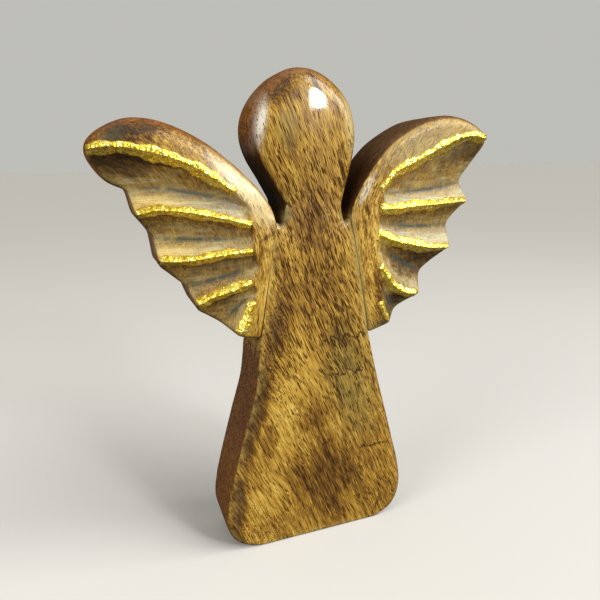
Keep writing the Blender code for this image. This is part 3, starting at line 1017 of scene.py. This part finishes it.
def add_wash(g, base, rough, dark_wood_and_shade, wash):
    """Thin greyed wax in the carved valleys, rubbed off in places and thinner on the brows, with a painted
    highlight on the flanks that face up and painted shade along the creases, blue-grey as a painted
    reflection.
    """
    drag = g.noise(g.scale(g.millimetres, (0.07, 0.5, 0.5)), 1.0, 4.0, 0.6)
    cover = g.times(g.span(g.attribute("carve"), 0.02, 0.5), g.span(drag, 0.32, 0.55, 0.5, 1.0))
    # Less wax on the brows, so that their painted shade shows.
    cover = g.times(cover, g.span(g.attribute("brow"), 0.1, 0.8, 1.0, 0.35))
    cover = g.times(cover, g.span(dark_wood_and_shade, 0.0, 0.4, 1.0, 0.3))
    hairs = g.noise(g.scale(g.millimetres, (0.10, 1.7, 1.7)), 1.0, 3.0, 0.6)
    hairs = g.span(hairs, 0.36, 0.58, 0.35, 1.0)
    wax = g.ramp(drag, [(0.36, WAX_DARK), (0.5, colour(*wash["colour"])), (0.66, WAX_LIGHT)])
    base = g.mix(g.times(g.times(cover, hairs), wash["strength"]), base, wax)
    # Painted highlight on the flanks that face up, warmer at the left wing's outer ends.
    sheen = g.times(g.attribute("sheen"), g.span(drag, 0.3, 0.5, 0.4, 1.0))
    sheen = g.times(sheen, g.span(dark_wood_and_shade, 0.0, 0.4, wash["sheen"], 0.0))
    sheen_colour = g.mix(g.attribute("tan"), SHEEN_COLOUR, TAN_COLOUR)
    base = g.mix(g.times(sheen, hairs), base, sheen_colour)
    # Painted shade along the creases, blue-grey as a painted reflection.
    line = g.span(g.noise(g.millimetres, 0.22, 3.0), 0.34, 0.48, 0.3, 1.0)
    line = g.times(g.attribute("crease"), line)
    base = g.mix(g.times(line, 0.95), base, CREASE_COLOUR)
    return base, g.times(cover, 0.1, rough)


GOLD_RAMP = [(0.3, colour(204, 164, 30)), (0.5, colour(242, 208, 62)), (0.68, colour(255, 244, 158))]
SIZE_COLOUR = opaque(colour(84, 58, 12))  # the dark glue under the leaf


def gold_material():
    """Crumpled leaf: bright facets, fine wrinkles and small gaps that show dark size."""
    g = Graph("crinkled_gold_leaf")
    millimetres = g.object_millimetres()
    warp = g.node("TexNoise", {"Vector": millimetres, "Scale": 0.4, "Detail": 1.0}).outputs["Color"]
    bent = g.vector("ADD", millimetres, g.scale(warp, (1.4, 1.4, 1.4)))
    fold = g.noise(bent, 0.55, 1.0)
    fold = g.times(g.maths("ABSOLUTE", g.maths("SUBTRACT", fold, 0.5)), 5.0, clamp=True)
    wrinkles = g.noise(bent, 1.3, 2.0, 0.5)
    gaps = g.span(g.noise(bent, 0.7, 4.0, 0.7), 0.365, 0.325)
    base = g.mix(gaps, g.ramp(g.noise(millimetres, 0.7, 3.0), GOLD_RAMP), SIZE_COLOUR)
    rough = g.span(g.noise(millimetres, 1.1, 2.0), 0.3, 0.7, 0.22, 0.45)
    bump = (0.6, 0.0003, g.times(wrinkles, 0.5, fold))
    return g.finish(base, rough, bump, g.times(gaps, -0.5, 0.75), coat=0.5, coat_roughness=0.2)


def dowel_material():
    """Plain pale dowel wood, with fine straight grain."""
    g = Graph("dowel_beech")
    streaks = g.noise(g.scale(g.object_millimetres(), (0.3, 2.0, 1.6)), 1.0, 4.0)
    base = g.ramp(streaks, [(0.3, colour(168, 128, 82)), (0.7, colour(214, 180, 132))])
    return g.finish(base, g.times(streaks, 0.2, 0.6), (0.4, 0.0001, streaks))


# The figure of each board's wood. A patch is (x, z, half width, half height, turn in degrees, depth,
# softness of its edge), in the part's own millimetres, and an ink line is (z, lowest x, highest x).
BODY_FIGURE = {
    "tone": 0.56,
    "banding": 0.45,
    "roughness": 0.40,
    "coat": 0.35,
    "coat_roughness": 0.1,
    "pores": 0.92,
    # wall: the tone that the sides fall towards, as painted shade.
    "wall": 0.32,
    "dark": [
        (5, 26, 16, 18, -14, 0.42, 0.6), (30, 22, 12, 26, -10, 0.14, 0.7),
        (0, 142, 9, 12, -18, 0.22, 0.7), (3, 112, 9, 14, -18, 0.16, 0.7),
        (-13.8, 144, 2.4, 4.6, 0, 0.7, 0.3), (13.8, 144, 2, 4.6, 0, 0.5, 0.3),
        (1, 57, 10, 5, -20, 0.26, 0.5), (-21.5, 49, 3.6, 8, 4, 0.3, 0.35),
        (-26.5, 66, 4.6, 27, 16, 0.46, 0.5), (-36, 24, 3.6, 16, 6, 0.42, 0.5),
        (-16, 98, 4.6, 16, 9, 0.36, 0.5), (-12.5, 190.5, 7, 4, -48, 0.46, 0.6),
        (1, 198, 9, 2.6, 4, 0.22, 0.6), (-38.5, 8, 3.6, 8, -18, 0.5, 0.5),
        (2, 12, 26, 8, 4, 0.1, 0.7), (2, 191, 1.1, 6, -30, 0.6, 0.4),
        (-7.5, 188, 2.6, 2.4, 20, 0.35, 0.6), (-10.5, 168.5, 3.2, 5, 0, 0.14, 0.5),
        (13.2, 158, 0.8, 10, -17, 0.42, 0.5), (7, 92, 7, 5, 0, 0.2, 0.5),
        (2, 128, 5, 22, -20, 0.13, 0.6), (10.4, 66, 0.7, 8, -14, 0.45, 0.5),
    ],
    "light": [
        (-14, 62, 8, 22, 20, 0.14, 0.7),
        (-24, 22, 6, 12, 6, 0.14, 0.7),
        (4, 172, 14, 16, -16, 0.05, 0.7),
    ],
    "tints": [
        ((84, 88, 64), [
            (-13.4, 143, 3.2, 4.4, 20, 0.85, 0.3),
            (14, 141.6, 2.4, 2.4, 0, 0.85, 0.3),
        ]),
        ((122, 118, 64), [
            (16, 70, 9, 24, -12, 0.4, 0.7),
            (-11, 176, 4, 7, 0, 0.3, 0.6),
        ]),
        ((92, 74, 52), [
            (-27.5, 68, 2.8, 24, 16, 0.45, 0.7),
            (-36.5, 24, 2.4, 13, 6, 0.45, 0.7),
            (-18, 98, 2.4, 12, 9, 0.35, 0.7),
        ]),
        # Painted highlight along the head's right edge.
        ((214, 200, 140), [(18.5, 179, 4.4, 14, -8, 0.55, 0.8)]),
        # Painted highlight on the head's left bevel.
        ((232, 228, 214), [(-20.4, 178, 2, 9, 12, 0.7, 0.7)]),
    ],
    "fine": [
        (0, 28, 48, 40, 0, 1, 0.5),
        (-2, 187, 26, 20, 0, 1.4, 0.5),
    ],
    "end_grain": [
        (-22, 88, 7, 26, 14, 1, 0.4),
        (-30, 10, 14, 12, -20, 1, 0.4),
    ],
    "ink": [(91.5, 2, 24), (75.5, 6, 23), (38.5, 20, 34)],
    # Painted shade on the head's left side, next to the left wing.
    "painted_side_shade": [(-20, 151, 12, 22, 0, 0.9, 0.5)],
    "gloss": [(0, 182, 30, 26, 0, 0.5, 0.35)],
}
LEFT_FIGURE = {
    "tone": 0.55,
    "banding": 0.6,
    "roughness": 0.42,
    "coat": 0.15,
    "coat_roughness": 0.28,
    "pores": 0.6,
    "wall": 0.32,
    "dark": [
        (-70, 176.5, 9, 5, 6, 0.48, 0.5), (-80, 172, 4, 6, 0, 0.36, 0.5),
        # The next two are dark wood under the first ridge at the tip, made darker as painted shade.
        (-74, 163.4, 12, 4.2, 8, 0.52, 0.6), (-64, 165.5, 16, 1.8, 8, 0.6, 0.6),
        (-64, 176.5, 9, 5, -10, 0.65, 0.6), (-43, 115, 13, 4.5, -14, 0.28, 0.7),
        (-19.4, 136, 4, 0.8, -30, 0.4, 0.5), (-17, 130, 0.8, 6, 4, 0.4, 0.5),
    ],
    "light": [
        (-20.5, 112, 3.5, 18, 4, 0.16, 0.7),
        # Painted highlight on the wing's arm, lightening it.
        (-27.5, 154, 5, 14, -42, 0.22, 0.7),
    ],
    "tints": [
        # Painted highlight on the wing's arm, a pale tint.
        ((234, 228, 192), [(-27.5, 154, 4.6, 14, -42, 0.45, 0.8)]),
        ((58, 56, 40), [(-73, 176, 4, 7, 0, 0.85, 0.6)]),
        ((76, 74, 62), [
            (-44, 128, 14, 2.2, 4, 0.35, 0.7),
            (-42, 149, 14, 2.4, 8, 0.35, 0.7),
        ]),
    ],
    "fine": [
        (-54, 155, 26, 40, 0, 1, 0.3),
        (-27, 155, 7, 15, -42, 1, 0.5),
    ],
    "end_grain": [(-50, 172, 32, 12, -8, 1, 0.4)],
    # Painted shade on the wing's side along the body.
    "painted_side_shade": [(-18, 118, 8, 24, 0, 0.2, 0.35)],
    "gloss": [(-28, 153, 8, 17, -42, 1, 0.6)],
}
RIGHT_FIGURE = {
    "tone": 0.57,
    "banding": 0.6,
    "roughness": 0.42,
    "coat": 0.1,
    "coat_roughness": 0.2,
    "pores": 0.6,
    "wall": 0.0,
    "dark": [
        # Two of these, at (50, 119) and (38, 101.5), are painted shade in the two lowest valleys.
        (22.9, 144.6, 1.1, 2.4, -25, 0.5, 0.5), (50, 119, 14, 6, 14, 0.55, 0.5),
        (38, 101.5, 6, 8, 20, 0.7, 0.5), (28.5, 112, 1.6, 18, -10, 0.34, 0.6),
        (22.6, 136, 1, 8, -8, 0.3, 0.6), (31, 104, 2.6, 12, -10, 0.42, 0.6),
        (74, 166, 9, 3.4, -8, 0.25, 0.5),
    ],
    "light": [
        (23, 128, 1.8, 16, -12, 0.12, 0.7),
        (26, 130, 3.6, 10, -8, 0.22, 0.7),
    ],
    "tints": [
        ((178, 166, 120), [(52, 171, 24, 8, -14, 0.45, 0.7)]),
        # Painted shade at the wing's foot.
        ((50, 52, 40), [(32, 94, 9, 4, -14, 0.75, 0.7)]),
        # Painted highlight on the rounded edge by the shoulder.
        ((236, 230, 206), [(22.8, 152.5, 1.5, 6, 28, 0.6, 0.6)]),
    ],
    "fine": [
        (56, 155, 26, 40, 0, 1, 0.3),
        (34, 162, 9, 14, 40, 0.8, 0.5),
    ],
    "end_grain": [(55, 170, 30, 14, 8, 1, 0.4)],
    # Painted shade on the wing's sides next to the head, and on its top side.
    "painted_side_shade": [
        (20, 150, 14, 22, 20, 0.75, 0.6),
        (40, 172, 26, 14, -20, 0.45, 0.6),
    ],
    "gloss": [(24, 136, 8, 20, 0, 0.3, 0.35)],
}
BODY_GRAIN_CENTRE, LEFT_GRAIN_CENTRE, RIGHT_GRAIN_CENTRE = (1700.0, 800.0), (-120.0, 115.0), (97.0, 135.0)
# sheen: strength of the painted highlight on the valleys' up-facing flanks.
WASH = {"colour": (128, 118, 82), "strength": 0.8, "sheen": 0.6}


# ---- stage

FLOOR_SIZE = 40.0
FLOOR_SEEN, FLOOR_BOUNCE = (0.60, 0.595, 0.58), (0.07, 0.065, 0.06)
CAMERA_AT = (-0.0819, -0.2141, 0.1631)
CAMERA_YAW, CAMERA_DOWN, CAMERA_ROLL = 20.4, 14.0, 0.9
FOCAL_SHARE = 548 / 600  # focal length over the frame's width
SENSOR = 36.0
HORIZON, ZENITH, BACKDROP = (0.15, 0.09, 0.045), (0.58, 0.62, 0.61), (0.52, 0.517, 0.485)
SUN = {"from_side": (0.58, -0.48, 0.66), "strength": 2.7, "spread": 42.0, "tint": (1.0, 0.98, 0.92)}
HEAD_AIM = (0.0, 0.0, 0.18)
# Each softbox: its name, place, width and height in metres, power in watts and tint.
SOFTBOXES = [
    ("key", (0.355, -0.70, 0.44), (0.14, 0.14), 3.2, (0.97, 1.0, 0.97)),
    ("left_strip", (-0.66, -0.30, 0.46), (0.4, 0.45), 3.4, (1.0, 1.0, 0.98)),
    ("right_strip", (0.70, -0.16, 0.48), (0.10, 0.3), 1.2, (0.98, 1.0, 0.97)),
]


def make_floor():
    mesh = bpy.data.meshes.new("floor")
    half = FLOOR_SIZE / 2
    corners = [(-half, -half, 0), (half, -half, 0), (half, half, 0), (-half, half, 0)]
    mesh.from_pydata(corners, [], [(0, 1, 2, 3)])
    g = Graph("pale_floor")
    seen = g.node("LightPath").outputs["Is Camera Ray"]
    g.put(g.shader.inputs["Base Color"], g.mix(seen, opaque(FLOOR_BOUNCE), opaque(FLOOR_SEEN)))
    g.shader.inputs["Roughness"].default_value = 0.8
    mesh.materials.append(g.material)
    place(mesh)


def make_softbox(name, at, size, power, tint):
    data = bpy.data.lights.new(name, "AREA")
    data.shape = "RECTANGLE"
    data.size, data.size_y = size
    data.energy = power
    data.color = tint
    light = place(data)
    light.location = at
    light.rotation_euler = (Vector(HEAD_AIM) - Vector(at)).to_track_quat("-Z", "Y").to_euler()


def make_camera():
    data = bpy.data.cameras.new("camera")
    data.sensor_width = SENSOR
    data.lens = SENSOR * FOCAL_SHARE
    data.clip_start = 0.01
    camera = place(data)
    yaw, down, roll = (math.radians(a) for a in (CAMERA_YAW, CAMERA_DOWN, CAMERA_ROLL))
    aim = Euler((math.pi / 2 - down, 0.0, -yaw)).to_matrix()
    turn = Euler((0.0, 0.0, -roll)).to_matrix()
    camera.rotation_euler = (aim @ turn).to_euler()
    camera.location = CAMERA_AT
    bpy.context.scene.camera = camera


def make_sun(from_side, strength, spread, tint):
    """A far softbox: even light over the whole floor, from one side."""
    data = bpy.data.lights.new("soft_sun", "SUN")
    data.energy = strength
    data.angle = math.radians(spread)
    data.color = tint
    place(data).rotation_euler = Vector(from_side).to_track_quat("Z", "Y").to_euler()


def light_stage():
    world = bpy.data.worlds.new("studio")
    world.use_nodes = True
    nodes, links = world.node_tree.nodes, world.node_tree.links
    background = nodes["Background"]
    seen = nodes.new("ShaderNodeLightPath").outputs["Is Camera Ray"]
    height = nodes.new("ShaderNodeSeparateXYZ")
    links.new(nodes.new("ShaderNodeTexCoord").outputs["Generated"], height.inputs[0])
    sky = nodes.new("ShaderNodeValToRGB")
    for element, up, tint in zip(sky.color_ramp.elements, (0.5, 0.95), (HORIZON, ZENITH)):
        element.position, element.color = up, opaque(tint)
    links.new(height.outputs[2], sky.inputs[0])
    pick = nodes.new("ShaderNodeMix")
    pick.data_type = "RGBA"
    pick.inputs[7].default_value = opaque(BACKDROP)
    links.new(seen, pick.inputs[0])
    links.new(sky.outputs[0], pick.inputs[6])
    links.new(pick.outputs[2], background.inputs["Color"])
    bpy.context.scene.world = world
    bpy.context.scene.view_settings.view_transform = "Standard"
    make_sun(**SUN)
    for softbox in SOFTBOXES:
        make_softbox(*softbox)


# ---- the figure

body_wood = wood("varnished_body_wood", BODY_GRAIN_CENTRE, BODY_FIGURE)
left_wood = wood("varnished_left_wing_wood", LEFT_GRAIN_CENTRE, LEFT_FIGURE, WASH)
right_wood = wood("varnished_right_wing_wood", RIGHT_GRAIN_CENTRE, RIGHT_FIGURE, WASH)
gold = gold_material()
dowel_wood = dowel_material()

build_body(body_wood)
for label, wing, wing_wood in (("left", LEFT_WING, left_wood), ("right", RIGHT_WING, right_wood)):
    wing_front, wing_ridges = build_wing(wing, wing_wood)
    build_gold(label, wing, wing_front, wing_ridges, gold)
for node_name, node_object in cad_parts.items():
    if "dowel" in node_name:
        node_object.data.materials.clear()
        node_object.data.materials.append(dowel_wood)

make_floor()
make_camera()
light_stage()
